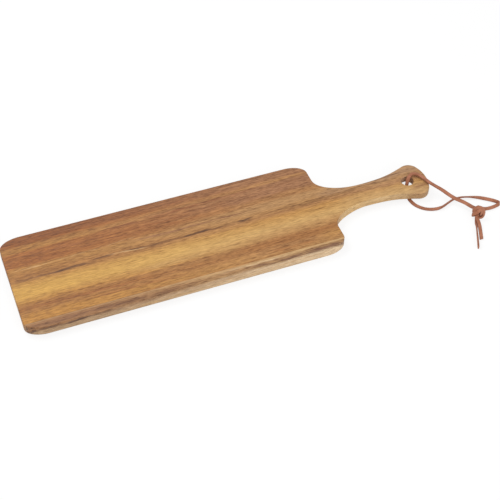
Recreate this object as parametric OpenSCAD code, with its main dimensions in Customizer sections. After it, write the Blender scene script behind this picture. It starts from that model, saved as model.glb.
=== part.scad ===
// Paddle serving board of three edge-glued staves, with a knotted leather lace through the handle's hole.
// Millimetres. The board lies flat: X runs along it toward the handle, Z is up.
// The origin is on the table, under the middle of the board's length and width.

/* [Blade] */

// Length of the blade, from its square end to the shoulders
blade_l = 370; // [260:1:480]

// Width of the blade across the three staves
blade_w = 139; // [110:0.5:200]

// Thickness of the blade
blade_t = 12; // [9:0.1:20]

// Length of the four corner curves along the board
corner_run = 25; // [15:0.5:32]

// Depth of the four corner curves across the board
corner_depth = 14.5; // [12:0.5:22]

// Distance of the joint behind the middle stave from the side of the handle's wide end
joint_clear = 0.15; // [0.1:0.05:8]

// Width of the narrow stave along the front edge
front_stave_w = 11; // [6:0.5:14]

// Height and width of the round-over of the upper edge
top_edge_r = 1.2; // [0.4:0.1:2.5]

// Height and width of the round-over of the lower edge
low_edge_r = 1.6; // [0.4:0.1:2.5]

/* [Handle] */

// Length of the handle, from the shoulders to its tip
handle_l = 130; // [95:1:170]

// Width of the handle at its waist
waist_w = 28.8; // [22:0.2:40]

// Length of the hollow curve from a shoulder to the waist
shoulder_run = 49; // [30:1:60]

// Sideways reach of the hollow curve from the waist to a shoulder
shoulder_rise = 25.6; // [15:0.2:32]

// Width of the handle at its widest, near the tip
bulb_w = 50.7; // [38:0.1:60]

// Radius of the two corners of the wide end
bulb_r = 13; // [8:0.5:18]

// Radius of the shallow curve across the tip
end_r = 43; // [30:1:70]

// Slope of the flare where it meets the corner of the wide end, in degrees
flare_angle = 20; // [10:1:30]

// Height of the handle's underside over the table, which lets the lace pass
relief_h = 2.3; // [2.2:0.1:3.5]

// Length over which the underside rises to that height
relief_run = 30; // [15:1:45]

/* [Hanging hole] */

// Diameter of the hole
hole_d = 15.3; // [12:0.1:20]

// Distance of the hole's axis from the tip
hole_inset = 24; // [18:0.5:32]

// Width of the easing of the hole's two rims
hole_ease = 0.6; // [0.2:0.1:1.2]

/* [Lace] */

// Width of the flat leather lace
lace_w = 4.2; // [3:0.1:5]

// Thickness of the lace
lace_t = 1.8; // [1:0.1:2]

// Air between the two strands where they lie together in the knot
strand_gap = 0.35; // [0.1:0.05:0.5]

/* [Hidden] */

// Cuts run this far past the faces they open
overrun = 5;

// Segments of an arc, of each handle curve, of the curve beside a shoulder and of the hole
arc_steps = 12;
curve_steps = 12;
neck_steps = 6;
bore_steps = 96;

// Share of the flare's length that shapes its two ends
waist_pull_share = 0.5;
bulb_pull_share = 0.35;

// The joints stay this far clear of the ends of the curves that they meet
joint_margin = 0.15;
joint_low_share = 0.3;

// Angle round the hollow curve where the underside starts to rise
rise_angle = 45;

// Where things are along the board and across it
left_x = -(blade_l + handle_l) / 2;
shoulder_x = left_x + blade_l;
waist_x = shoulder_x + shoulder_run;
tip_x = shoulder_x + handle_l;
half_w = blade_w / 2;
waist_y = waist_w / 2;
shoulder_y = waist_y + shoulder_rise;
hole_x = tip_x - hole_inset;

// The joints on either side of the middle stave: the back one meets the first half of the hollow
// curve and clears the wide end, and the front one meets the two front corners
back_joint_low = waist_y + joint_low_share * shoulder_rise;
back_joint_y = min(max(bulb_w / 2 + joint_clear, back_joint_low), shoulder_y - joint_margin);
back_joint_angle = asin((shoulder_y - back_joint_y) / shoulder_rise);
front_joint_y = min(front_stave_w, corner_depth - joint_margin) - half_w;
front_joint_angle = asin((corner_depth - half_w - front_joint_y) / corner_depth);

// The wide end: two corner arcs that run smoothly into the curve of the tip
end_x = tip_x - end_r;
bulb_y = bulb_w / 2 - bulb_r;
bulb_x = end_x + sqrt(max(0, pow(end_r - bulb_r, 2) - pow(bulb_y, 2)));
end_angle = atan2(bulb_y, bulb_x - end_x);
flare_end = [bulb_x, bulb_y] + bulb_r * [-sin(flare_angle), cos(flare_angle)];
flare_run = flare_end.x - waist_x;

// A cubic curve, its direction, the share of the way from one value to another, and a list backwards
function cubic(p, s) =
    pow(1 - s, 3) * p[0] + 3 * s * pow(1 - s, 2) * p[1] + 3 * s * s * (1 - s) * p[2] + pow(s, 3) * p[3];
function cubic_way(p, s) =
    pow(1 - s, 2) * (p[1] - p[0]) + 2 * s * (1 - s) * (p[2] - p[1]) + s * s * (p[3] - p[2]);
function unit(v) = v / norm(v);
function between(a, b, i, n) = a + (b - a) * i / n;
function reversed(list) = [for (i = [len(list) - 1:-1:0]) list[i]];

// An edge is a list of rows: x, y, and the direction into the wood that an inset moves the point in
function edge_row(p, inward) = [p.x, p.y, inward.x, inward.y];
function arc_row(c, r, a) = edge_row(c + r * [cos(a), sin(a)], -[cos(a), sin(a)]);
function mirrored(edge) = [for (i = [len(edge) - 1:-1:0]) [edge[i][0], -edge[i][1], edge[i][2], -edge[i][3]]];

// Where a joint meets the outline, an inset moves the point along the joint
function at_joint(row) = [row[0], row[1], 1 / row[2], 0];
function first_at_joint(edge) = [for (i = [0:len(edge) - 1]) i == 0 ? at_joint(edge[i]) : edge[i]];
function last_at_joint(edge) = [for (i = [0:len(edge) - 1]) i == len(edge) - 1 ? at_joint(edge[i]) : edge[i]];

// A corner of the blade is a quarter of an ellipse
function corner_row(c, a) = edge_row(
    c + [corner_run * cos(a), corner_depth * sin(a)],
    -unit([cos(a) / corner_run, sin(a) / corner_depth]));
function corner_edge(c, a, b) = [for (i = [0:arc_steps]) corner_row(c, between(a, b, i, arc_steps))];

// So is the hollow curve from a shoulder to the waist
function hollow_row(a) = edge_row(
    [waist_x - shoulder_run * cos(a), shoulder_y - shoulder_rise * sin(a)],
    unit([-cos(a) / shoulder_run, -sin(a) / shoulder_rise]));
function hollow_edge(a, b, n) = [for (i = [0:n]) hollow_row(between(a, b, i, n))];
function neck_edge(a) = [for (i = [0:neck_steps - 1]) hollow_row(between(a, rise_angle, i, neck_steps))];

// The flare from the waist to the wide end
flare = [
    [waist_x, waist_y],
    [waist_x + waist_pull_share * flare_run, waist_y],
    flare_end - bulb_pull_share * flare_run * [cos(flare_angle), sin(flare_angle)],
    flare_end
];
function flare_row(s) = let (d = unit(cubic_way(flare, s))) edge_row(cubic(flare, s), [d.y, -d.x]);

// Corners of the blade, seen from above: the front ones are shared by two staves
back_left = [left_x + corner_run, half_w - corner_depth];
back_right = [shoulder_x - corner_run, half_w - corner_depth];
front_left = [left_x + corner_run, corner_depth - half_w];
front_right = [shoulder_x - corner_run, corner_depth - half_w];

// Edge of the handle's back half, from where its underside starts to rise to just before the tip
grip_edge = concat(
    hollow_edge(rise_angle, 90, curve_steps),
    [for (i = [1:curve_steps]) flare_row(i / curve_steps)],
    [for (i = [1:arc_steps])
        arc_row([bulb_x, bulb_y], bulb_r, between(90 + flare_angle, end_angle, i, arc_steps))],
    [for (i = [1:arc_steps - 1]) arc_row([end_x, 0], end_r, between(end_angle, 0, i, arc_steps))]
);

// Edges of the staves, clockwise from the left end of the joint or corner that each starts with
left_joint = [[left_x, back_joint_y, 1, 0]];
back_edge = concat(left_joint, corner_edge(back_left, 180, 90), corner_edge(back_right, 90, 0),
    last_at_joint(hollow_edge(0, back_joint_angle, neck_steps)));
middle_back = concat(left_joint, first_at_joint(neck_edge(back_joint_angle)));
middle_front = concat(mirrored(neck_edge(0)),
    last_at_joint(corner_edge(front_right, 0, -front_joint_angle)),
    first_at_joint(corner_edge(front_left, 180 + front_joint_angle, 180)));
middle_edge = concat(middle_back, grip_edge, [arc_row([end_x, 0], end_r, 0)], mirrored(grip_edge), middle_front);
front_edge = concat(first_at_joint(corner_edge(front_right, -front_joint_angle, -90)),
    last_at_joint(corner_edge(front_left, 270, 180 + front_joint_angle)));

// Height of the underside: on the table under the blade, then up to the relief
rise_x = hollow_row(rise_angle)[0];
function rise(x) =
    let (s = min(1, max(0, (x - rise_x) / relief_run))) relief_h * s * s * (3 - 2 * s);

// Levels of a stave's skin from below: inset, height over the underside, or fall below the top
low_levels = [for (a = [90, 60, 30, 0]) low_edge_r * [1 - cos(a), 1 - sin(a)]];
top_levels = [for (a = [0, 30, 60, 90]) top_edge_r * [1 - cos(a), 1 - sin(a)]];
levels_n = len(low_levels) + len(top_levels);

// A stave with the given edge. Its top and underside are one face each up to the row rise_from,
// and then strips between the rows from there to the tip and their mirror images. Each face starts
// with a point that sees all of the face, so that it splits into triangles cleanly.
module stave(edge, rise_from, tip) {
    n = len(edge);
    low_points = [for (level = low_levels) for (r = edge)
        [r[0] + level[0] * r[2], r[1] + level[0] * r[3], rise(r[0]) + level[1]]];
    top_points = [for (level = top_levels) for (r = edge)
        [r[0] + level[0] * r[2], r[1] + level[0] * r[3], blade_t - level[1]]];
    flat_cap = [for (i = [0:n - 1]) if (i <= rise_from || i >= 2 * tip - rise_from) i];
    strips = [for (i = [rise_from:1:tip - 1])
        i == tip - 1 ? [i, tip, i + 2] : [i, i + 1, 2 * tip - i - 1, 2 * tip - i]];
    caps = concat([flat_cap], strips);
    low_caps = [for (cap = caps) concat([cap[0]], reversed([for (i = [1:len(cap) - 1]) cap[i]]))];
    top_caps = [for (cap = caps) [for (i = cap) (levels_n - 1) * n + i]];
    sides = [for (k = [0:levels_n - 2]) for (i = [0:n - 1])
        let (j = (i + 1) % n, a = k * n, b = a + n)
        each [[b + j, b + i, a + i], [a + j, b + j, a + i]]];
    polyhedron(points = concat(low_points, top_points), faces = concat(low_caps, sides, top_caps));
}

// The hanging hole with eased rims
module hanging_hole() {
    translate([hole_x, 0, 0]) {
        translate([0, 0, -overrun])
            cylinder(d = hole_d, h = blade_t + 2 * overrun, $fn = bore_steps);
        translate([0, 0, blade_t - hole_ease])
            cylinder(d1 = hole_d, d2 = hole_d + 4 * hole_ease, h = 2 * hole_ease, $fn = bore_steps);
        translate([0, 0, relief_h - hole_ease])
            cylinder(d1 = hole_d + 4 * hole_ease, d2 = hole_d, h = 2 * hole_ease, $fn = bore_steps);
    }
}

module back_stave() {
    color("#7d4a2c") stave(back_edge, len(back_edge), len(back_edge));
}

module middle_stave() {
    color("#b27b45") difference() {
        stave(middle_edge, len(middle_back), len(middle_back) + len(grip_edge));
        hanging_hole();
    }
}

module front_stave() {
    color("#6d4636") stave(front_edge, len(front_edge), len(front_edge));
}

// The lace is one flat strip. Its route starts at the short tail's cut end, goes back through the knot,
// up over the handle's end into the hole, out under the handle, round the loop, through the knot again
// and out to the long tail's end. Points are x from the hole's axis, y and height over the table,
// then the direction that the strip's flat face looks in.
short_tail_route = [
    [43.6, -106.3, 1.1, 0, 0, 1],
    [47.5, -97, 1.2, 0, 0, 1],
    [50.5, -88.5, 2.5, 0, -0.15, 1],
    [51.6, -82.2, 4.6, 0, -0.4, 0.9]
];
upper_route = [
    [53.2, -63.4, 9.2, -0.5, -0.4, 0.8],
    [48.6, -52.5, 8, -0.6, -0.2, 0.8],
    [40, -41.5, 8.8, -0.6, 0, 0.8],
    [31.5, -28, 11.8, -0.3, 0, 0.95],
    [26, -21, 13.7, 0, 0, 1],
    [22, -15, 14.8, 0, 0, 1],
    [19, -8, 15.2, 0, 0, 1],
    [15, 1.5, 15.2, 0, 0, 1],
    [9, 5.8, 14.9, 0, 0, 1],
    [4, 4, 12.8, 0, 0, 1],
    [1.3, 1.2, 9.6, 0, 0, 1]
];
hole_route = [
    [-0.8, -1.3, 6, 0, 0, 1]
];
lower_route = [
    [-1.5, -3.4, 2.6, 0, 0, 1],
    [-2.4, -6.2, 1.2, 0, 0, 1],
    [-3.7, -11, 1, 0, 0, 1],
    [-5.5, -19, 1, 0, 0, 1],
    [-5, -25, 1, 0, 0, 1],
    [-2.5, -32, 1, 0, 0, 1],
    [3.3, -39, 1, 0, 0, 1],
    [10, -43, 1, 0, 0, 1],
    [18, -45, 1.1, 0, 0, 1],
    [25.4, -44.8, 2, -0.1, 0.5, 0.8],
    [33.3, -42, 2.2, -0.2, 0.65, 0.7],
    [42.4, -38.8, 2.2, -0.1, 0.65, 0.75],
    [51.7, -38.4, 2.1, 0.1, 0.6, 0.8],
    [61, -41, 2.1, 0.2, 0.55, 0.8],
    [71.6, -45.2, 1.4, 0, 0, 1],
    [81.2, -52.8, 2.1, -0.4, -0.5, 0.8],
    [88, -59, 2.2, -0.5, -0.5, 0.7],
    [90, -63, 2.2, -1, 0, -0.1],
    [84, -65.5, 2.2, -0.1, 0.55, -0.8],
    [75.5, -66.2, 2.2, 0, 0.65, -0.75],
    [69, -65.5, 2.5, 0.1, 0.65, -0.7],
    [64, -64.2, 4.8, 0.3, 0.6, -0.7],
    [59.9, -65.2, 8.1, 0.4, 0.6, -0.7]
];
long_tail_route = [
    [49.2, -83.5, 1.9, -0.4, 0.3, -0.85],
    [46.2, -89.5, 2.2, -0.9, 0.2, -0.3],
    [39.3, -105, 2.2, -0.9, 0.45, 0],
    [33.6, -117.5, 2.2, -0.9, 0.45, 0]
];
function place(r) = [r[0], r[1], r[2]];
function facing(r) = [r[3], r[4], r[5]];

// The knot is an overhand knot that both strands take together. Its rows go from where they enter to where
// they leave, in directions of its own: right, down and front, from the knot's middle. After the place
// midway between the strands come the direction that they face in, the angle by which one strand lies
// on the other rather than beside it, and the share of its size that the squeezed lace keeps.
knot_at = [57.7, -71.8, 7];
knot_turn = 36.5;
knot_tilt = 44;
knot_right = [cos(knot_turn), -sin(knot_turn), 0];
knot_front = [-sin(knot_turn) * cos(knot_tilt), -cos(knot_turn) * cos(knot_tilt), sin(knot_tilt)];
knot_down = cross(knot_right, knot_front);
knot_rows = [
    [-2.6, -3.9, -0.8, 0, 0, 1, 90, 0.55],
    [-3, 0.3, -0.6, 0, 0, 1, 90, 0.5],
    [-1.8, 4.1, -1.1, 0, 0, 1, 90, 0.5],
    [1.4, 5.6, -1.6, 0.1, 0.4, 0.9, 80, 0.55],
    [4, 3.9, -0.5, 0.7, 0.2, 0.65, 55, 0.6],
    [4.5, 0.8, 0.6, 0.8, 0, 0.6, 8, 0.85],
    [4.1, -2.6, 1.6, 0.6, -0.3, 0.75, 0, 0.7],
    [1.5, -4.2, 2.9, 0.1, -0.4, 0.9, 0, 0.7],
    [-1.6, -2.8, 4, -0.05, -0.1, 1, 0, 0.95],
    [-4.2, -0.4, 3.8, -0.35, 0, 0.95, 0, 1],
    [-6.2, 1.6, 2, -0.85, 0, 0.5, 0, 1],
    [-6.4, 2.3, -0.9, -1, 0, -0.3, 0, 0.95],
    [-4.4, 2, -3.4, -0.5, 0, -0.85, 0, 0.85],
    [-1.2, 1.2, -4.5, 0.1, 0, -1, 15, 0.65],
    [0.4, 1.6, -1.4, 0.9, 0, -0.3, 75, 0.5],
    [-0.2, 2.9, 0.9, 0.7, -0.4, 0.4, 90, 0.5],
    [-1.2, 4.6, 2.5, 0.2, -0.4, 0.8, 90, 0.65],
    [-1.6, 6.4, 3.8, 0, -0.3, 1, 90, 0.78]
];
knot_n = len(knot_rows);
function knot_vector(v) = v.x * knot_right + v.y * knot_down + v.z * knot_front;
knot_line = [for (r = knot_rows) knot_vector(place(r))];
knot_way = [for (i = [0:knot_n - 1]) unit(knot_line[min(i + 1, knot_n - 1)] - knot_line[max(i - 1, 0)])];

// One strand of the knot: the two lie on either side of the middle line, and their outer faces look apart
function knot_strand(side) = [for (i = [0:knot_n - 1])
    let (
        way = knot_way[i],
        look = knot_vector(facing(knot_rows[i])),
        up = unit(look - (look * way) * way),
        lean = knot_rows[i][6],
        share = knot_rows[i][7],
        apart = share * (cos(lean) * lace_w + sin(lean) * lace_t) + strand_gap,
        toward = cos(lean) * cross(way, up) + sin(lean) * up
    )
    concat(knot_at + knot_line[i] + side * apart / 2 * toward, side * up, [share])];
function free(route) = [for (r = route) concat(r, [1])];

// The whole route, and where its stretches start and end
lace = concat(free(short_tail_route), reversed(knot_strand(1)), free(upper_route), free(hole_route),
    free(lower_route), knot_strand(-1), free(long_tail_route));
back_in = len(short_tail_route);
back_out = back_in + knot_n - 1;
in_hole = back_out + len(upper_route) + 1;
again_in = in_hole + len(lower_route) + 1;
again_out = again_in + knot_n - 1;
lace_end = len(lace) - 1;

// A smooth line through the route's points
bend_share = 1 / 6;
ring_steps = 3;
function route_row(i) = lace[min(max(i, 0), lace_end)];
function route_cubic(i) = [
    route_row(i),
    route_row(i) + bend_share * (route_row(i + 1) - route_row(i - 1)),
    route_row(i + 1) - bend_share * (route_row(i + 2) - route_row(i)),
    route_row(i + 1)
];

// One cross-section of the strip: eight corners with broken edges
corner_share = 0.3;
function strip_corners(share) =
    let (a = share * lace_w / 2, b = share * lace_t / 2, q = corner_share * share * lace_t)
    [[a, q - b], [a, b - q], [a - q, b], [q - a, b], [-a, b - q], [-a, q - b], [q - a, -b], [a - q, -b]];
strip_sides = 8;
function strip_ring(k) =
    let (
        i = min(floor(k / ring_steps), lace_end - 1),
        s = k / ring_steps - i,
        row = cubic(route_cubic(i), s),
        way = unit(place(cubic_way(route_cubic(i), s))),
        up = unit(facing(row) - (facing(row) * way) * way),
        side = cross(way, up)
    )
    [for (c = strip_corners(row[6])) place(row) + c.x * side + c.y * up];

// A stretch of the strip from one point of the route to another
module strip(from, to) {
    rings = ring_steps * (to - from);
    points = [for (k = [0:rings]) each strip_ring(ring_steps * from + k)];
    sides = [for (k = [0:rings - 1]) for (i = [0:strip_sides - 1])
        let (j = (i + 1) % strip_sides, a = k * strip_sides, b = a + strip_sides)
        each [[a + i, a + j, b + j], [a + i, b + j, b + i]]];
    first = [for (i = [strip_sides - 1:-1:0]) i];
    last = [for (i = [0:strip_sides - 1]) rings * strip_sides + i];
    translate([hole_x, 0, 0])
        polyhedron(points = points, faces = concat([first], sides, [last]));
}

module lace_upper_run() {
    color("#b06a4b") strip(back_out, in_hole);
}

module lace_lower_run() {
    color("#b06a4b") strip(in_hole, again_in);
}

module lace_knot() {
    color("#a86447") {
        strip(back_in, back_out);
        strip(again_in, again_out);
    }
}

module lace_long_tail() {
    color("#b06a4b") strip(again_out, lace_end);
}

module lace_short_tail() {
    color("#b06a4b") strip(0, back_in);
}

back_stave();
middle_stave();
front_stave();
lace_upper_run();
lace_lower_run();
lace_knot();
lace_long_tail();
lace_short_tail();
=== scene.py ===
import math

import bpy
import numpy as np
from mathutils import Matrix, Vector


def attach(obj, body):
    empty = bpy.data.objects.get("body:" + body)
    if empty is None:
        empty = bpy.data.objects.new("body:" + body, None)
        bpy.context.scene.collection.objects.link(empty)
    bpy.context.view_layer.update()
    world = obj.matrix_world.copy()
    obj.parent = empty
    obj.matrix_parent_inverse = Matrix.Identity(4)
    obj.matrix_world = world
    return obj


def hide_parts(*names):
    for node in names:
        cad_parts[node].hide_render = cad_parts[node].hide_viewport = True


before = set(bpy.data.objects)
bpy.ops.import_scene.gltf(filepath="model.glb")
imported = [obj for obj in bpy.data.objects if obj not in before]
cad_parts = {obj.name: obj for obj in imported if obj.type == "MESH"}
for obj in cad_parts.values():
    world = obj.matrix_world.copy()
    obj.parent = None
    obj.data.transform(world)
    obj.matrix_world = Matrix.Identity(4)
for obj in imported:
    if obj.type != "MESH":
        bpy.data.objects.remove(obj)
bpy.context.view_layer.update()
scene = bpy.context.scene
MM = 0.001
PER_MM = (1000.0, 1000.0, 1000.0)


# Camera, from the photograph's straight edges

IMAGE_PX = 500
SENSOR_MM = 36.0
FOCAL_PX = 1188.86
CAMERA_AT = (-0.315034, -0.881626, 0.985100)
HEADING, PITCH, ROLL = 0.370672, 0.822957, 0.012553
CLIP_NEAR, CLIP_FAR = 0.05, 50


def make_camera():
    forward = Vector((math.sin(HEADING) * math.cos(PITCH), math.cos(HEADING) * math.cos(PITCH),
                      -math.sin(PITCH)))
    level = Vector((math.cos(HEADING), -math.sin(HEADING), 0))
    above = level.cross(forward)
    right = math.cos(ROLL) * level + math.sin(ROLL) * above
    up = math.cos(ROLL) * above - math.sin(ROLL) * level
    data = bpy.data.cameras.new("camera")
    data.sensor_fit = "HORIZONTAL"
    data.sensor_width = SENSOR_MM
    data.lens = FOCAL_PX * SENSOR_MM / IMAGE_PX
    data.clip_start, data.clip_end = CLIP_NEAR, CLIP_FAR
    camera = bpy.data.objects.new("camera", data)
    turn = Matrix((right, up, -forward)).transposed().to_4x4()
    camera.matrix_world = Matrix.Translation(CAMERA_AT) @ turn
    scene.collection.objects.link(camera)
    scene.camera = camera


make_camera()


# The lace: one flat strip, on the route that the part's source gives. Rows are x from the hole's axis,
# y and height, then the direction that its flat face looks in, in millimetres.

HOLE_X = 226.0
LACE_W, LACE_T = 4.2, 1.8
SHORT_TAIL = [
    (43.6, -106.3, 1.1, 0, 0, 1), (47.5, -97, 1.2, 0, 0, 1), (50.5, -88.5, 2.5, 0, -0.15, 1),
    (51.6, -82.2, 4.6, 0, -0.4, 0.9)]
UPPER_RUN = [
    (53.2, -63.4, 9.2, -0.5, -0.4, 0.8), (48.6, -52.5, 8, -0.6, -0.2, 0.8), (40, -41.5, 8.8, -0.6, 0, 0.8),
    (31.5, -28, 11.8, -0.3, 0, 0.95), (26, -21, 13.7, 0, 0, 1), (22, -15, 14.8, 0, 0, 1),
    (19, -8, 15.2, 0, 0, 1), (15, 1.5, 15.2, 0, 0, 1), (9, 5.8, 14.9, 0, 0, 1), (4, 4, 12.8, 0, 0, 1),
    (1.3, 1.2, 9.6, 0, 0, 1)]
IN_HOLE = [
    (-0.8, -1.3, 6, 0, 0, 1)]
LOWER_RUN = [
    (-1.5, -3.4, 2.6, 0, 0, 1), (-2.4, -6.2, 1.2, 0, 0, 1), (-3.7, -11, 1, 0, 0, 1), (-5.5, -19, 1, 0, 0, 1),
    (-5, -25, 1, 0, 0, 1), (-2.5, -32, 1, 0, 0, 1), (3.3, -39, 1, 0, 0, 1), (10, -43, 1, 0, 0, 1),
    (18, -45, 1.1, 0, 0, 1), (25.4, -44.8, 2, -0.1, 0.5, 0.8), (33.3, -42, 2.2, -0.2, 0.65, 0.7),
    (42.4, -38.8, 2.2, -0.1, 0.65, 0.75), (51.7, -38.4, 2.1, 0.1, 0.6, 0.8), (61, -41, 2.1, 0.2, 0.55, 0.8),
    (71.6, -45.2, 1.4, 0, 0, 1), (81.2, -52.8, 2.1, -0.4, -0.5, 0.8), (88, -59, 2.2, -0.5, -0.5, 0.7),
    (90, -63, 2.2, -1, 0, -0.1), (84, -65.5, 2.2, -0.1, 0.55, -0.8), (75.5, -66.2, 2.2, 0, 0.65, -0.75),
    (69, -65.5, 2.5, 0.1, 0.65, -0.7), (64, -64.2, 4.8, 0.3, 0.6, -0.7), (59.9, -65.2, 8.1, 0.4, 0.6, -0.7)]
LONG_TAIL = [
    (49.2, -83.5, 1.9, -0.4, 0.3, -0.85), (46.2, -89.5, 2.2, -0.9, 0.2, -0.3), (39.3, -105, 2.2, -0.9, 0.45, 0),
    (33.6, -117.5, 2.2, -0.9, 0.45, 0)]
LONG_TAIL_SLANT, SHORT_TAIL_SLANT = 0.5, 0.9

# The knot, in directions of its own: right, down and front. After the place midway between its two strands
# come the direction they face in, the angle by which one lies on the other, and the share of its size that
# the squeezed lace keeps.

KNOT_AT = np.array((57.7, -71.8, 7))
KNOT_TURN, KNOT_TILT = math.radians(36.5), math.radians(44)
STRAND_GAP = 0.35
KNOT = [
    (-2.6, -3.9, -0.8, 0, 0, 1, 90, 0.55), (-3, 0.3, -0.6, 0, 0, 1, 90, 0.5),
    (-1.8, 4.1, -1.1, 0, 0, 1, 90, 0.5), (1.4, 5.6, -1.6, 0.1, 0.4, 0.9, 80, 0.55),
    (4, 3.9, -0.5, 0.7, 0.2, 0.65, 55, 0.6), (4.5, 0.8, 0.6, 0.8, 0, 0.6, 8, 0.85),
    (4.1, -2.6, 1.6, 0.6, -0.3, 0.75, 0, 0.7), (1.5, -4.2, 2.9, 0.1, -0.4, 0.9, 0, 0.7),
    (-1.6, -2.8, 4, -0.05, -0.1, 1, 0, 0.95), (-4.2, -0.4, 3.8, -0.35, 0, 0.95, 0, 1),
    (-6.2, 1.6, 2, -0.85, 0, 0.5, 0, 1), (-6.4, 2.3, -0.9, -1, 0, -0.3, 0, 0.95),
    (-4.4, 2, -3.4, -0.5, 0, -0.85, 0, 0.85), (-1.2, 1.2, -4.5, 0.1, 0, -1, 15, 0.65),
    (0.4, 1.6, -1.4, 0.9, 0, -0.3, 75, 0.5), (-0.2, 2.9, 0.9, 0.7, -0.4, 0.4, 90, 0.5),
    (-1.2, 4.6, 2.5, 0.2, -0.4, 0.8, 90, 0.65), (-1.6, 6.4, 3.8, 0, -0.3, 1, 90, 0.78)]

# The knot looks tight because its leather is fuller than in the source: these are the factors at its rows.
# Its strands are also rounder, and painted shade darkens their creases.
KNOT_FULL = (1, 1.3, 1.4, 1.5, 1.5, 1.3, 1.25, 1.2, 1.15, 1.15, 1.15, 1.15, 1.2, 1.4, 1.6, 1.6, 1.3, 1)
KNOT_CREASE_SHADE = 1.5

# The strip's mesh: rings for each row of the route, points of a ring, and how square the cross-section is
STEPS = 8
SECTION_POINTS = 28
FLAT_SECTION, ROUND_SECTION = 5.0, 2.4
SHARP_ANGLE = math.radians(50)

# The strip's width is a little uneven: share, waves for each millimetre, and how far each stretch starts on
UNEVEN = ((0.018, 0.55, 7.0), (0.012, 1.7, 14.0))

# The cut edge's colour starts at this share of half the width, and is full after this much more
EDGE_FROM, EDGE_OVER = 0.82, 0.14


def unit(v):
    return v / np.linalg.norm(v, axis=-1, keepdims=True)


def square_to(way, look):
    """The direction nearest to look that is square to way."""
    return unit(look - (look * way).sum(1, keepdims=True) * way)


def knot_strands():
    right = np.array((math.cos(KNOT_TURN), -math.sin(KNOT_TURN), 0))
    front = np.array((-math.sin(KNOT_TURN) * math.cos(KNOT_TILT), -math.cos(KNOT_TURN) * math.cos(KNOT_TILT),
                      math.sin(KNOT_TILT)))
    axes = np.array((right, np.cross(right, front), front))
    rows = np.array(KNOT, float)
    line, look = rows[:, :3] @ axes, rows[:, 3:6] @ axes
    lean, share = np.radians(rows[:, 6:7]), rows[:, 7:8]
    padded = np.vstack([line[:1], line, line[-1:]])
    way = unit(padded[2:] - padded[:-2])
    up = square_to(way, look)
    apart = share * (np.cos(lean) * LACE_W + np.sin(lean) * LACE_T) + STRAND_GAP
    toward = np.cos(lean) * np.cross(way, up) + np.sin(lean) * up
    full = share * np.array(KNOT_FULL)[:, None]
    return [np.hstack([KNOT_AT + line + side * apart / 2 * toward, side * up, full]) for side in (1, -1)]


def lace_route():
    """All rows of the route, and the row where each stretch starts and ends."""
    def free(rows):
        return np.hstack([np.array(rows, float), np.ones((len(rows), 1))])
    back, again = knot_strands()
    parts = [free(SHORT_TAIL), back[::-1], free(UPPER_RUN), free(IN_HOLE), free(LOWER_RUN), again,
             free(LONG_TAIL)]
    n = [len(p) for p in parts]
    back_in = n[0]
    back_out = back_in + n[1] - 1
    hole = back_out + n[2] + 1
    again_in = hole + n[4] + 1
    again_out = again_in + n[5] - 1
    return np.vstack(parts), (back_in, back_out, hole, again_in, again_out, sum(n) - 1)


ROUTE, (BACK_IN, BACK_OUT, HOLE, AGAIN_IN, AGAIN_OUT, LACE_END) = lace_route()


def lace_rings(first, last):
    """Centres, ways, sides, ups and size shares along a stretch of the route."""
    t = np.linspace(first, last, STEPS * (last - first) + 1)
    i = np.minimum(t.astype(int), LACE_END - 1)
    s = (t - i)[:, None]
    row = [ROUTE[np.clip(i + k, 0, LACE_END)] for k in (-1, 0, 1, 2)]
    a, d = row[1], row[2]
    b, c = a + (d - row[0]) / 6, d - (row[3] - a) / 6
    at = (1 - s) ** 3 * a + 3 * s * (1 - s) ** 2 * b + 3 * s ** 2 * (1 - s) * c + s ** 3 * d
    way = unit(((1 - s) ** 2 * (b - a) + 2 * s * (1 - s) * (c - b) + s ** 2 * (d - c))[:, :3])
    up = square_to(way, at[:, 3:6])
    return at[:, :3] + (HOLE_X, 0, 0), way, np.cross(way, up), up, at[:, 6]


def section(power):
    """The strip's cross-section, from -1 to 1 both ways. A lower power makes it rounder."""
    t = (np.arange(SECTION_POINTS) + 0.5) * 2 * math.pi / SECTION_POINTS
    c, s = np.cos(t), np.sin(t)
    return np.sign(c) * abs(c) ** (2 / power), np.sign(s) * abs(s) ** (2 / power)


def add_strip(mesh_parts, first, last, slant_first=0.0, slant_last=0.0, power=FLAT_SECTION, crease_shade=1.0):
    """Adds a stretch of the strip to the lists of points, faces and edge shares, and returns its middle line.
    A slant cuts an end askew, and a crease shade above 1 darkens the edges further as painted shade in creases."""
    points, faces, edge = mesh_parts
    at, way, side, up, share = lace_rings(first, last)
    across, over = section(power)
    along = np.concatenate([[0], np.cumsum(np.linalg.norm(np.diff(at, axis=0), axis=1))])
    uneven = 1 + sum(much * np.sin(waves * along + phase * first) for much, waves, phase in UNEVEN)
    half_w = share * LACE_W / 2 * np.minimum(1.0, uneven)
    half_t = share * LACE_T / 2
    slant = np.zeros(len(at))
    slant[0], slant[-1] = slant_first, slant_last
    start, n = len(points), SECTION_POINTS
    for k in range(len(at)):
        for a, o in zip(across, over):
            points.append(tuple(MM * (at[k] + a * half_w[k] * side[k] + o * half_t[k] * up[k]
                                      + a * slant[k] * way[k])))
            edge.append(crease_shade * min(1.0, max(0.0, (abs(a) - EDGE_FROM) / EDGE_OVER)))
    for k in range(len(at) - 1):
        low, high = start + k * n, start + (k + 1) * n
        for i in range(n):
            j = (i + 1) % n
            faces.append((low + i, low + j, high + j, high + i))
    faces.append(tuple(start + i for i in reversed(range(n))))
    faces.append(tuple(start + (len(at) - 1) * n + i for i in range(n)))
    return MM * at


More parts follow.
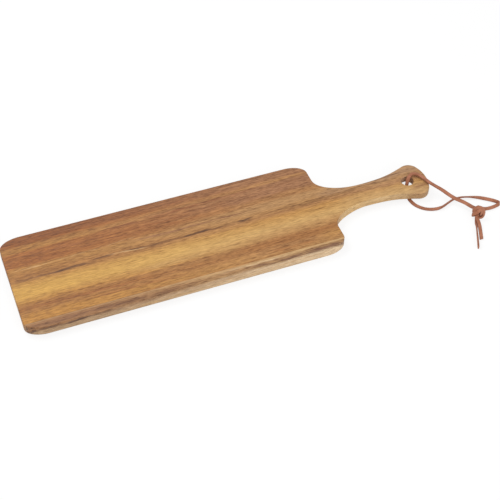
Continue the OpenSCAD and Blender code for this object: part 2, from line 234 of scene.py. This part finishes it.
def make_lace_piece(name, node, mesh_parts):
    points, faces, edge = mesh_parts
    mesh = bpy.data.meshes.new(name)
    mesh.from_pydata(points, [], faces)
    mesh.update()
    mesh.attributes.new("cut_edge_and_crease_shade", "FLOAT", "POINT").data.foreach_set("value", edge)
    mesh.shade_smooth()
    mesh.set_sharp_from_angle(angle=SHARP_ANGLE)
    piece = bpy.data.objects.new(name, mesh)
    scene.collection.objects.link(piece)
    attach(piece, "lace")
    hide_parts(node)
    return piece


def make_lace():
    knot_parts = ([], [], [])
    for first, last in ((BACK_IN, BACK_OUT), (AGAIN_IN, AGAIN_OUT)):
        add_strip(knot_parts, first, last, power=ROUND_SECTION, crease_shade=KNOT_CREASE_SHADE)
    knot = make_lace_piece("knot", "lace_knot", knot_parts)
    made = [knot]
    for name, node, first, last, exit_row, far_end, slants in (
            ("upper_run", "lace_upper_run", BACK_OUT, HOLE, HOLE, "knot", {}),
            ("lower_run", "lace_lower_run", HOLE, AGAIN_IN, HOLE, "knot", {}),
            ("long_tail", "lace_long_tail", AGAIN_OUT, LACE_END, AGAIN_OUT, "bare",
             {"slant_last": LONG_TAIL_SLANT}),
            ("short_tail", "lace_short_tail", 0, BACK_IN, BACK_IN, "bare", {"slant_first": SHORT_TAIL_SLANT})):
        parts = ([], [], [])
        path = add_strip(parts, first, last, **slants)
        piece = make_lace_piece(name, node, parts)
        made.append(piece)
    return made


lace_pieces = make_lace()


# Node helpers

MIX_SHARE, MIX_A, MIX_B, MIX_RESULT = 0, 6, 7, 2    # the Mix node's sockets for colours
BUMP_HEIGHT = 0.25 * MM


class Shader:
    """Builds one material's nodes."""

    def __init__(self, name):
        self.material = bpy.data.materials.new(name)
        self.material.use_nodes = True
        self.tree = self.material.node_tree
        self.bsdf = self.tree.nodes["Principled BSDF"]

    def put(self, socket, value):
        if isinstance(value, bpy.types.NodeSocket):
            self.tree.links.new(value, socket)
        elif isinstance(value, tuple) and len(value) == 3 and socket.type == "RGBA":
            socket.default_value = (*value, 1)
        else:
            socket.default_value = value

    def node(self, kind, inputs=(), **settings):
        n = self.tree.nodes.new(kind)
        for key, value in settings.items():
            setattr(n, key, value)
        for key, value in dict(inputs).items():
            self.put(n.inputs[key], value)
        return n

    def math(self, operation, *values):
        return self.node("ShaderNodeMath", enumerate(values), operation=operation).outputs[0]

    def absolute(self, value):
        return self.math("ABSOLUTE", value)

    def vector(self, operation, a, b):
        return self.node("ShaderNodeVectorMath", {0: a, 1: b}, operation=operation).outputs[0]

    def split(self, vector):
        return self.node("ShaderNodeSeparateXYZ", {0: vector}).outputs

    def remap(self, value, low, high, to_low=0.0, to_high=1.0, smooth=True, clamp=True):
        n = self.node("ShaderNodeMapRange", {"Value": value, "From Min": low, "From Max": high,
                                             "To Min": to_low, "To Max": to_high})
        n.interpolation_type = "SMOOTHSTEP" if smooth else "LINEAR"
        n.clamp = clamp
        return n.outputs["Result"]

    def noise(self, place, scale, detail, roughness=0.5):
        """Noise at a place, with a scale for each direction."""
        return self.node("ShaderNodeTexNoise", {
            "Vector": self.vector("MULTIPLY", place, scale), "Scale": 1.0, "Detail": detail,
            "Roughness": roughness}).outputs["Fac"]

    def swing(self, value, much, base):
        """Base, plus much times what a noise differs from its middle."""
        return self.math("MULTIPLY_ADD", self.math("SUBTRACT", value, 0.5), much, base)

    def mix(self, share, a, b, blend="MIX"):
        n = self.node("ShaderNodeMix", {MIX_SHARE: share}, data_type="RGBA", blend_type=blend)
        self.put(n.inputs[MIX_A], a)
        self.put(n.inputs[MIX_B], b)
        return n.outputs[MIX_RESULT]

    def times(self, colour, tint):
        return self.mix(1.0, colour, tint, "MULTIPLY")

    def ramp(self, value, stops):
        n = self.node("ShaderNodeValToRGB", {"Fac": value})
        elements = n.color_ramp.elements
        while len(elements) < len(stops):
            elements.new(0.5)
        for e, (place, colour) in zip(elements, stops):
            e.position = place
            e.color = (*colour, 1)
        return n.outputs["Color"]

    def surface(self, colour, roughness, specular, bump, height):
        """Gives the surface its colour, gloss and relief, and returns the material."""
        relief = self.node("ShaderNodeBump", {"Strength": bump, "Distance": BUMP_HEIGHT, "Height": height})
        for name, value in (("Base Color", colour), ("Roughness", roughness), ("Specular IOR Level", specular),
                            ("Normal", relief.outputs[0])):
            self.put(self.bsdf.inputs[name], value)
        return self.material


def linear(red, green, blue):
    """A colour written as it shows on a screen, from 0 to 255, by the sRGB curve."""
    return tuple((c / 255 / 12.92) if c <= 10.3 else ((c / 255 + 0.055) / 1.055) ** 2.4
                 for c in (red, green, blue))


# Wood

SHEEN = 0.016
DARKEST = 0.004


def seen(red, green, blue):
    """A wood colour as it shows on a screen, less the light that the oiled surface reflects."""
    return tuple(max(DARKEST, c - SHEEN) for c in linear(red, green, blue))


DARK_RED = seen(148, 97, 66)
RED_BROWN = seen(170, 114, 71)
RUSSET = seen(158, 103, 65)
GREY_BROWN = seen(163, 117, 84)
FAWN = seen(175, 127, 83)
TAN = seen(183, 136, 87)
PALE_TAN = seen(181, 138, 94)
AMBER = seen(192, 142, 83)
HONEY = seen(201, 155, 95)
GOLD = seen(217, 174, 104)
BROWN = seen(166, 115, 71)
VEIN = seen(118, 82, 58)
BLACK_BROWN = seen(98, 72, 58)
DUSK = seen(124, 90, 72)
PURPLE_BROWN = seen(155, 112, 77)
UMBER = seen(126, 88, 64)
GREIGE = seen(174, 138, 109)
SAPWOOD = seen(219, 190, 153)
SAND = seen(206, 164, 106)
STRAW = seen(196, 151, 98)
WHEAT = seen(200, 160, 110)
ASH = seen(182, 150, 116)
GLUE = seen(205, 166, 118)

# Tints of painted light and shade, and where along the board each comes in, in millimetres from the board's
# middle
SAME = (1.0, 1.0, 1.0)
# The left end's tint is painted shade
LEFT_PAINTED_SHADE, LEFT_REACH = (0.9, 0.81, 0.57), (-260.0, 60.0)
# The handle's tint is painted light
HANDLE_PAINTED_LIGHT, HANDLE_REACH = (1.02, 1.08, 1.3), (110.0, 190.0)
# Painted light and shade on the handle's sides
SIDE_PAINTED_LIGHT, SIDE_PAINTED_SHADE, SIDE_REACH = (1.09, 1.2, 1.42), (0.76, 0.75, 0.8), (178.0, 228.0)
SIDE_LOOK = (0.4, 0.9)

# The painted light on the hole's left wall, and where it ends: by distance from the hole's axis, and along the
# board from there
HOLE_PAINTED_LIGHT, HOLE_RIM, HOLE_LEFT = (1.6, 1.75, 2.1), (7.7, 8.1), (1.5, 6.0)

# The growth bands: the range of their places across the board, and where the left end's give way to the
# right end's, along a ragged border
BOARD_T = 12.0
BANDS_LOW, BANDS_HIGH = -90.0, 80.0
BANDS_CHANGE, BANDS_RAGGED = (-215.0, 95.0), 200.0

# Noise in the wood: scale along and across the grain for each millimetre, detail and roughness
GRAIN = {
    "wander": (0.007, 0.012, 1.0, 0.55), "ripple": (0.035, 0.12, 2.0, 0.55), "fibre": (0.075, 0.5, 3.0, 0.6),
    "broken": (0.04, 0.4, 3.0, 0.6), "coarse": (0.009, 0.3, 3.0, 0.55), "fleck": (0.15, 1.15, 1.0, 0.5),
    "wisp": (0.018, 0.8, 2.0, 0.6), "fine": (0.1, 1.6, 3.0, 0.6), "shimmer": (0.2, 0.06, 3.0, 0.6),
    "pore": (0.1, 1.0, 2.0, 0.45)}
SEED_STEP = (37.0, 53.0, 19.0)
BAND_SWINGS = (("wander", 6.0), ("ripple", 5.0), ("fibre", 3.0))
TONE_SWINGS = (("coarse", 0.9), ("fibre", 1.0), ("fleck", 2.0), ("wisp", 1.4), ("fine", 1.8), ("shimmer", 0.3))

# The tone that the grain gives: 0.5 leaves the colour as it is
TONE_MIDDLE, TONE_LOW, TONE_HIGH = 0.5, -0.5, 1.5
TONES = [(0.0, (0.46, 0.38, 0.32)), (0.5, SAME), (1.0, (1.42, 1.48, 1.54))]
TONE_LIFT = 0.04
PORES, PORES_DARKEN = (0.58, 0.7), -0.35
PALENESS, GRAIN_LEFT = (0.2, 0.38), (1.3, 0.8)
END_LOOK, END_DARKENS = (0.45, 0.95), -0.35

# Streaks and glue lines are torn by a noise: its range, and what it leaves of them at its least
STREAK_TORN, STREAK_LEFT = (0.32, 0.6), 0.2
LINE_TORN, LINE_LEFT = (0.25, 0.5), 0.35
LINE_CORE = 0.4

WOOD_ROUGHNESS, FINE_ROUGHENS, PORES_ROUGHEN = 0.48, 0.3, 0.15
WOOD_SPECULAR, WOOD_BUMP, PORES_DEEPEN = 0.35, 0.25, -0.8


def bands(*stops):
    """Stops of a ramp across the board, given as places in millimetres from the board's middle line."""
    return [((y - BANDS_LOW) / (BANDS_HIGH - BANDS_LOW), colour)
            for y, colour in sorted(stops, key=lambda stop: stop[0])]


def wood(name, seed, tilt, left, right, streaks, glue_line, left_painted_shade=LEFT_PAINTED_SHADE, side_painted_light=SAME):
    """Oiled wood with growth bands that run along X, tilt in the thickness and change from left to right."""
    s = Shader(name)
    place = s.node("ShaderNodeTexCoord").outputs
    p = s.vector("MULTIPLY", place["Object"], PER_MM)
    x, y, z = s.split(p)
    shifted = s.vector("ADD", p, tuple(seed * step for step in SEED_STEP))
    grain = {kind: s.noise(shifted, (along, across, across), detail, roughness)
             for kind, (along, across, detail, roughness) in GRAIN.items()}

    # Place across the growth bands, which wander along the board
    rho = s.math("MULTIPLY_ADD", s.math("SUBTRACT", BOARD_T, z), tilt, y)
    for kind, much in BAND_SWINGS:
        rho = s.swing(grain[kind], much, rho)

    # Growth bands. The right end's are paler and greyer, partly the wood's own tone and partly painted sheen
    share = s.remap(rho, BANDS_LOW, BANDS_HIGH, smooth=False)
    toward = s.remap(s.swing(grain["ripple"], BANDS_RAGGED, x), *BANDS_CHANGE)
    colour = s.mix(toward, s.ramp(share, left), s.ramp(share, right))

    # Painted shade makes the left end deeper in colour, and painted light makes the handle paler
    colour = s.times(colour, s.mix(s.remap(x, *LEFT_REACH), left_painted_shade, SAME))
    colour = s.times(colour, s.mix(s.remap(x, *HANDLE_REACH), SAME, HANDLE_PAINTED_LIGHT))

    # Streaks and veins laid in one by one
    torn = s.remap(grain["broken"], *STREAK_TORN, STREAK_LEFT, 1.0)
    for y0, y1, width, x0, x1, fade, tone, strength in streaks:
        middle = s.remap(x, x0, x1, y0, y1, smooth=False, clamp=False)
        off = s.math("DIVIDE", s.absolute(s.math("SUBTRACT", rho, middle)), width)
        across = s.remap(off, 0.0, 1.0, 1.0, 0.0)
        there = s.math("MULTIPLY", s.remap(x, x0, x0 + fade), s.remap(x, x1 - fade, x1, 1.0, 0.0))
        much = s.math("MULTIPLY", s.math("MULTIPLY", across, there), s.math("MULTIPLY", torn, strength))
        colour = s.mix(much, colour, tone)

    # Grain lines of several sizes, the shimmer that crosses them, and pores
    pores = s.remap(grain["pore"], *PORES)
    tone = TONE_MIDDLE
    for kind, much in TONE_SWINGS:
        tone = s.swing(grain[kind], much, tone)
    tone = s.math("MULTIPLY_ADD", pores, PORES_DARKEN, s.math("ADD", tone, TONE_LIFT))

    # Pale wood shows less of its grain
    paleness = s.node("ShaderNodeRGBToBW", {0: colour}).outputs[0]
    tone = s.swing(tone, s.remap(paleness, *PALENESS, *GRAIN_LEFT), TONE_MIDDLE)

    # End grain is darker, and is seen where the surface looks along the board
    facing = s.split(place["Normal"])
    end = s.remap(s.absolute(facing[0]), *END_LOOK)
    tone = s.math("MULTIPLY_ADD", end, END_DARKENS, tone)
    colour = s.times(colour, s.ramp(s.remap(tone, TONE_LOW, TONE_HIGH, smooth=False), TONES))

    # The handle's sides can differ from its face at the waist by painted light, and painted shade makes them
    # deeper at its wide end
    side = s.remap(s.absolute(facing[1]), *SIDE_LOOK)
    tint = s.mix(s.remap(x, *SIDE_REACH), side_painted_light, SIDE_PAINTED_SHADE)
    colour = s.times(colour, s.mix(side, SAME, tint))

    # Painted light makes the hanging hole's wall paler at its left
    off_x = s.math("SUBTRACT", x, HOLE_X)
    away = s.math("SQRT", s.math("MULTIPLY_ADD", off_x, off_x, s.math("MULTIPLY", y, y)))
    much = s.math("MULTIPLY", s.remap(away, *HOLE_RIM, 1.0, 0.0), s.remap(off_x, *HOLE_LEFT, 1.0, 0.1))
    colour = s.times(colour, s.mix(much, SAME, HOLE_PAINTED_LIGHT))

    # The line of the glued joint
    at, half, line_colour, strength = glue_line
    near = s.remap(s.absolute(s.math("SUBTRACT", y, at)), LINE_CORE * half, half, 1.0, 0.0)
    much = s.math("MULTIPLY", near, s.remap(grain["broken"], *LINE_TORN, LINE_LEFT * strength, strength))
    colour = s.mix(much, colour, line_colour)

    roughness = s.swing(grain["fine"], FINE_ROUGHENS, WOOD_ROUGHNESS)
    roughness = s.math("MULTIPLY_ADD", pores, PORES_ROUGHEN, roughness)
    height = s.math("MULTIPLY_ADD", pores, PORES_DEEPEN, grain["fine"])
    return s.surface(colour, roughness, WOOD_SPECULAR, WOOD_BUMP, height)


# Where the staves are glued, from the board's middle line. In the photograph the pale line of the front joint
# lies a little nearer the front edge.
BACK_JOINT, FRONT_JOINT = 25.5, -58.5
FRONT_LINE = FRONT_JOINT - 1.1
BACK_LINE = (BACK_JOINT, 0.3, RUSSET, 0.5)

# A streak is its place across the board at its two ends, half its width, where it starts and ends along the
# board, the length over which it fades, its colour and its strength.
back_wood = wood(
    "back_wood", 1.0, 0.55,
    bands((60, DARK_RED), (56, RUSSET), (52, FAWN), (47, TAN), (43, RED_BROWN), (33, RED_BROWN), (29, RUSSET),
          (25, RED_BROWN)),
    bands((60, GREY_BROWN), (54, FAWN), (51, GREY_BROWN), (36, GREY_BROWN), (30, FAWN)),
    [(44, 52, 4.0, -165, 75, 60, DARK_RED, 1.1), (50, 56, 1.6, -60, 125, 40, TAN, 0.6),
     (36, 37, 3.0, -245, -20, 40, RUSSET, 1.1), (41, 40, 1.4, -250, -120, 30, RUSSET, 0.7),
     (30, 31, 3.4, -200, 10, 60, RUSSET, 0.9), (61, 59, 1.6, -230, 60, 60, DARK_RED, 0.6),
     (33, 34, 1.0, 20, 110, 30, RUSSET, 0.5), (45, 47, 1.0, 40, 120, 25, RUSSET, 0.5),
     (66, 66, 3.0, -220, -20, 60, DARK_RED, 0.7)],
    BACK_LINE)

middle_wood = wood(
    "middle_wood", 2.0, 0.5,
    bands((28, RUSSET), (24, RED_BROWN), (20, TAN), (15, TAN), (10, FAWN), (4, FAWN), (1, TAN), (-3, HONEY),
          (-9, GOLD), (-20, GOLD), (-27, HONEY), (-31, AMBER), (-34, FAWN), (-39, BROWN), (-43, FAWN),
          (-49, AMBER), (-58, AMBER), (-70, BROWN)),
    bands((28, FAWN), (22, PALE_TAN), (15, PALE_TAN), (8, TAN), (3, FAWN), (-3, AMBER), (-10, HONEY),
          (-18, SAND), (-25, STRAW), (-31, TAN), (-36, BROWN), (-42, BROWN), (-48, FAWN), (-58, TAN),
          (-70, BROWN)),
    [(3.2, 3.6, 2.6, -250, -150, 20, VEIN, 0.9), (3.2, 3.6, 1.7, -205, -155, 12, BLACK_BROWN, 0.65),
     (6.2, 6.4, 2.0, -164, -128, 12, VEIN, 1.5), (8.6, 6.0, 1.2, -130, -90, 12, VEIN, 1.2),
     (6, 6.8, 2.8, -110, 40, 25, VEIN, 0.9), (6.4, 6.8, 1.9, -56, -18, 10, BLACK_BROWN, 1.1),
     (6.9, 6.9, 2.1, 12, 34, 8, BLACK_BROWN, 1.2), (7, 10, 2.2, 30, 230, 40, VEIN, 0.7),
     (18.6, 18.2, 0.9, -247, -196, 12, GLUE, 0.75), (18.2, 25, 0.8, -206, -95, 15, GLUE, 0.5),
     (8.0, 4.6, 1.4, -143, -90, 12, GLUE, 0.9), (19, 18, 2.6, -115, 35, 30, GREY_BROWN, 1.1),
     (17, 19, 0.9, -80, 60, 20, VEIN, 0.6), (-1, -2, 2.0, -50, 50, 30, FAWN, 0.6),
     (-10, -11, 3.0, -190, -105, 30, AMBER, 0.7), (-25, -28, 7.0, -130, 60, 50, SAND, 0.5),
     (-38, -41, 2.2, -250, -90, 40, RUSSET, 0.8), (-46, -49, 3.2, -200, -50, 50, RUSSET, 0.75),
     (-30, -32, 1.2, -235, -130, 30, BROWN, 0.6), (-24, -26, 0.9, -140, -90, 15, BROWN, 0.7),
     (-38, -43, 4.0, 30, 100, 30, BROWN, 0.6), (-51, -53, 5.0, 25, 95, 20, RED_BROWN, 0.7),
     (-48, -49, 9.0, 84, 160, 26, AMBER, 0.9), (-36, -38, 6.0, -110, 20, 40, TAN, 0.4),
     (12, 17, 6.5, 105, 264, 30, GREIGE, 0.65), (13.5, 15, 1.8, 150, 245, 30, VEIN, 0.5),
     (5, 6.5, 2.6, 85, 185, 30, VEIN, 0.6), (9, 11, 1.4, 120, 210, 30, VEIN, 0.3),
     (-6, -8, 9.0, 120, 235, 40, WHEAT, 0.5), (-14, -14, 10.0, 216, 268, 20, GREY_BROWN, 0.85),
     (-58, -58, 3.0, -140, 75, 30, BROWN, 0.8)],
    BACK_LINE, side_painted_light=SIDE_PAINTED_LIGHT)

front_wood = wood(
    "front_wood", 3.0, -0.9,
    bands((-70, PURPLE_BROWN), (-74.5, ASH)),
    bands((-61, GLUE), (-63, PALE_TAN), (-67, WHEAT), (-70, SAPWOOD)),
    [(-65, -65.3, 4.3, -260, -60, 50, UMBER, 0.8), (-66, -66, 3.6, -140, 20, 40, UMBER, 0.6),
     (-71, -72.2, 2.7, -275, -135, 40, BLACK_BROWN, 1.15), (-62.5, -71, 2.0, -256, -226, 6, BLACK_BROWN, 0.75),
     (-66, -66, 5.4, -20, 150, 40, DUSK, 1.0), (-67, -68, 3.7, 10, 150, 30, DUSK, 0.85),
     (-62, -61, 2.2, -40, 60, 30, SAPWOOD, 0.8), (-75, -76, 1.2, -180, 60, 60, WHEAT, 0.7),
     (-73, -73, 0.8, -60, 110, 40, TAN, 0.6)],
    (FRONT_LINE, 0.8, GLUE, 0.5), left_painted_shade=SAME)

WELD_WITHIN = 1e-6
SPLIT_ANGLE = math.radians(40)


def dress(node, material):
    """Gives a CAD node its material, and smooths its round-overs without touching its vertices."""
    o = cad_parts[node]
    o.data.materials.clear()
    o.data.materials.append(material)
    o.data.shade_smooth()
    o.modifiers.new("weld", "WELD").merge_threshold = WELD_WITHIN
    o.modifiers.new("split", "EDGE_SPLIT").split_angle = SPLIT_ANGLE
    o.modifiers.new("normals", "WEIGHTED_NORMAL").keep_sharp = True


dress("back_stave", back_wood)
dress("middle_stave", middle_wood)
dress("front_stave", front_wood)


# Leather

LEATHER_DARK, LEATHER_PALE, LEATHER_EDGE = linear(166, 105, 76), linear(184, 121, 92), linear(140, 83, 58)
EDGE_STRENGTH = 0.55
BLOTCH_SCALE, BLOTCH_DETAIL, BLOTCHES = 0.12, 3.0, (0.35, 0.65)
LEATHER_SCALE, LEATHER_DETAIL, LEATHER_ROUGH_NOISE, LEATHER_GRAIN = 3.2, 4.0, 0.65, (0.3, 0.7)
LEATHER_TONES, LEATHER_ROUGHNESS = (0.78, 1.12), (0.72, 0.56)
LEATHER_SPECULAR, LEATHER_SHEEN, LEATHER_BUMP = 0.3, 0.15, 0.5


def leather():
    s = Shader("lace_leather")
    p = s.vector("MULTIPLY", s.node("ShaderNodeTexCoord").outputs["Object"], PER_MM)
    blotch = s.noise(p, (BLOTCH_SCALE,) * 3, BLOTCH_DETAIL)
    grain = s.noise(p, (LEATHER_SCALE,) * 3, LEATHER_DETAIL, LEATHER_ROUGH_NOISE)
    colour = s.mix(s.remap(blotch, *BLOTCHES), LEATHER_DARK, LEATHER_PALE)
    # The cut edges are darker. In the knot the same mask, made stronger, is painted shade in the creases
    edge = s.node("ShaderNodeAttribute", attribute_name="cut_edge_and_crease_shade").outputs["Fac"]
    colour = s.mix(s.math("MULTIPLY", edge, EDGE_STRENGTH), colour, LEATHER_EDGE)
    tone = s.remap(grain, *LEATHER_GRAIN, *LEATHER_TONES)
    colour = s.times(colour, s.node("ShaderNodeCombineXYZ", {0: tone, 1: tone, 2: tone}).outputs[0])
    s.put(s.bsdf.inputs["Sheen Weight"], LEATHER_SHEEN)
    roughness = s.remap(grain, *LEATHER_GRAIN, *LEATHER_ROUGHNESS)
    return s.surface(colour, roughness, LEATHER_SPECULAR, LEATHER_BUMP, grain)


lace_leather = leather()
for lace_piece in lace_pieces:
    lace_piece.data.materials.append(lace_leather)


# Stage: a white floor that keeps a soft shadow, and soft studio light

FLOOR_HALF, FLOOR_Z = 6.0, -0.3 * MM
FLOOR_COLOUR, FLOOR_ROUGHNESS = (0.9, 0.9, 0.9), 0.9
WHITE_STRENGTH, WHITE_SHARE = 1.04, 0.8
WORLD_STRENGTH = 0.55
# Name, place, size across and power of each lamp
SOFTBOXES = (("key", (-0.55, 0.85, 1.5), 1.1, 15), ("fill", (0.4, -1.6, 0.7), 1.2, 10.5))


def make_floor():
    mesh = bpy.data.meshes.new("floor")
    corners = [(FLOOR_HALF * i, FLOOR_HALF * j, 0) for i, j in ((-1, -1), (1, -1), (1, 1), (-1, 1))]
    mesh.from_pydata(corners, [], [(0, 1, 2, 3)])
    floor = bpy.data.objects.new("floor", mesh)
    floor.location.z = FLOOR_Z
    scene.collection.objects.link(floor)
    s = Shader("floor_white")
    s.put(s.bsdf.inputs["Base Color"], FLOOR_COLOUR)
    s.put(s.bsdf.inputs["Roughness"], FLOOR_ROUGHNESS)
    s.put(s.bsdf.inputs["Specular IOR Level"], 0.0)
    path = s.node("ShaderNodeLightPath").outputs
    direct = s.math("MAXIMUM", path["Is Glossy Ray"], path["Is Transmission Ray"])
    direct = s.math("MAXIMUM", path["Is Camera Ray"], direct)
    white = s.node("ShaderNodeEmission", {"Color": SAME, "Strength": WHITE_STRENGTH})
    both = s.node("ShaderNodeMixShader", {0: s.math("MULTIPLY", direct, WHITE_SHARE), 1: s.bsdf.outputs[0],
                                          2: white.outputs[0]})
    s.put(s.tree.nodes["Material Output"].inputs["Surface"], both.outputs[0])
    mesh.materials.append(s.material)


def make_light():
    world = bpy.data.worlds.new("studio")
    world.use_nodes = True
    background = world.node_tree.nodes["Background"].inputs
    background["Color"].default_value = (*SAME, 1)
    background["Strength"].default_value = WORLD_STRENGTH
    scene.world = world
    for name, at, size, power in SOFTBOXES:
        data = bpy.data.lights.new(name, "AREA")
        data.shape = "DISK"
        data.size = size
        data.energy = power
        lamp = bpy.data.objects.new(name, data)
        lamp.location = at
        lamp.rotation_euler = (-Vector(at)).to_track_quat("-Z", "Y").to_euler()
        scene.collection.objects.link(lamp)


make_floor()
make_light()
scene.view_settings.view_transform = "Standard"
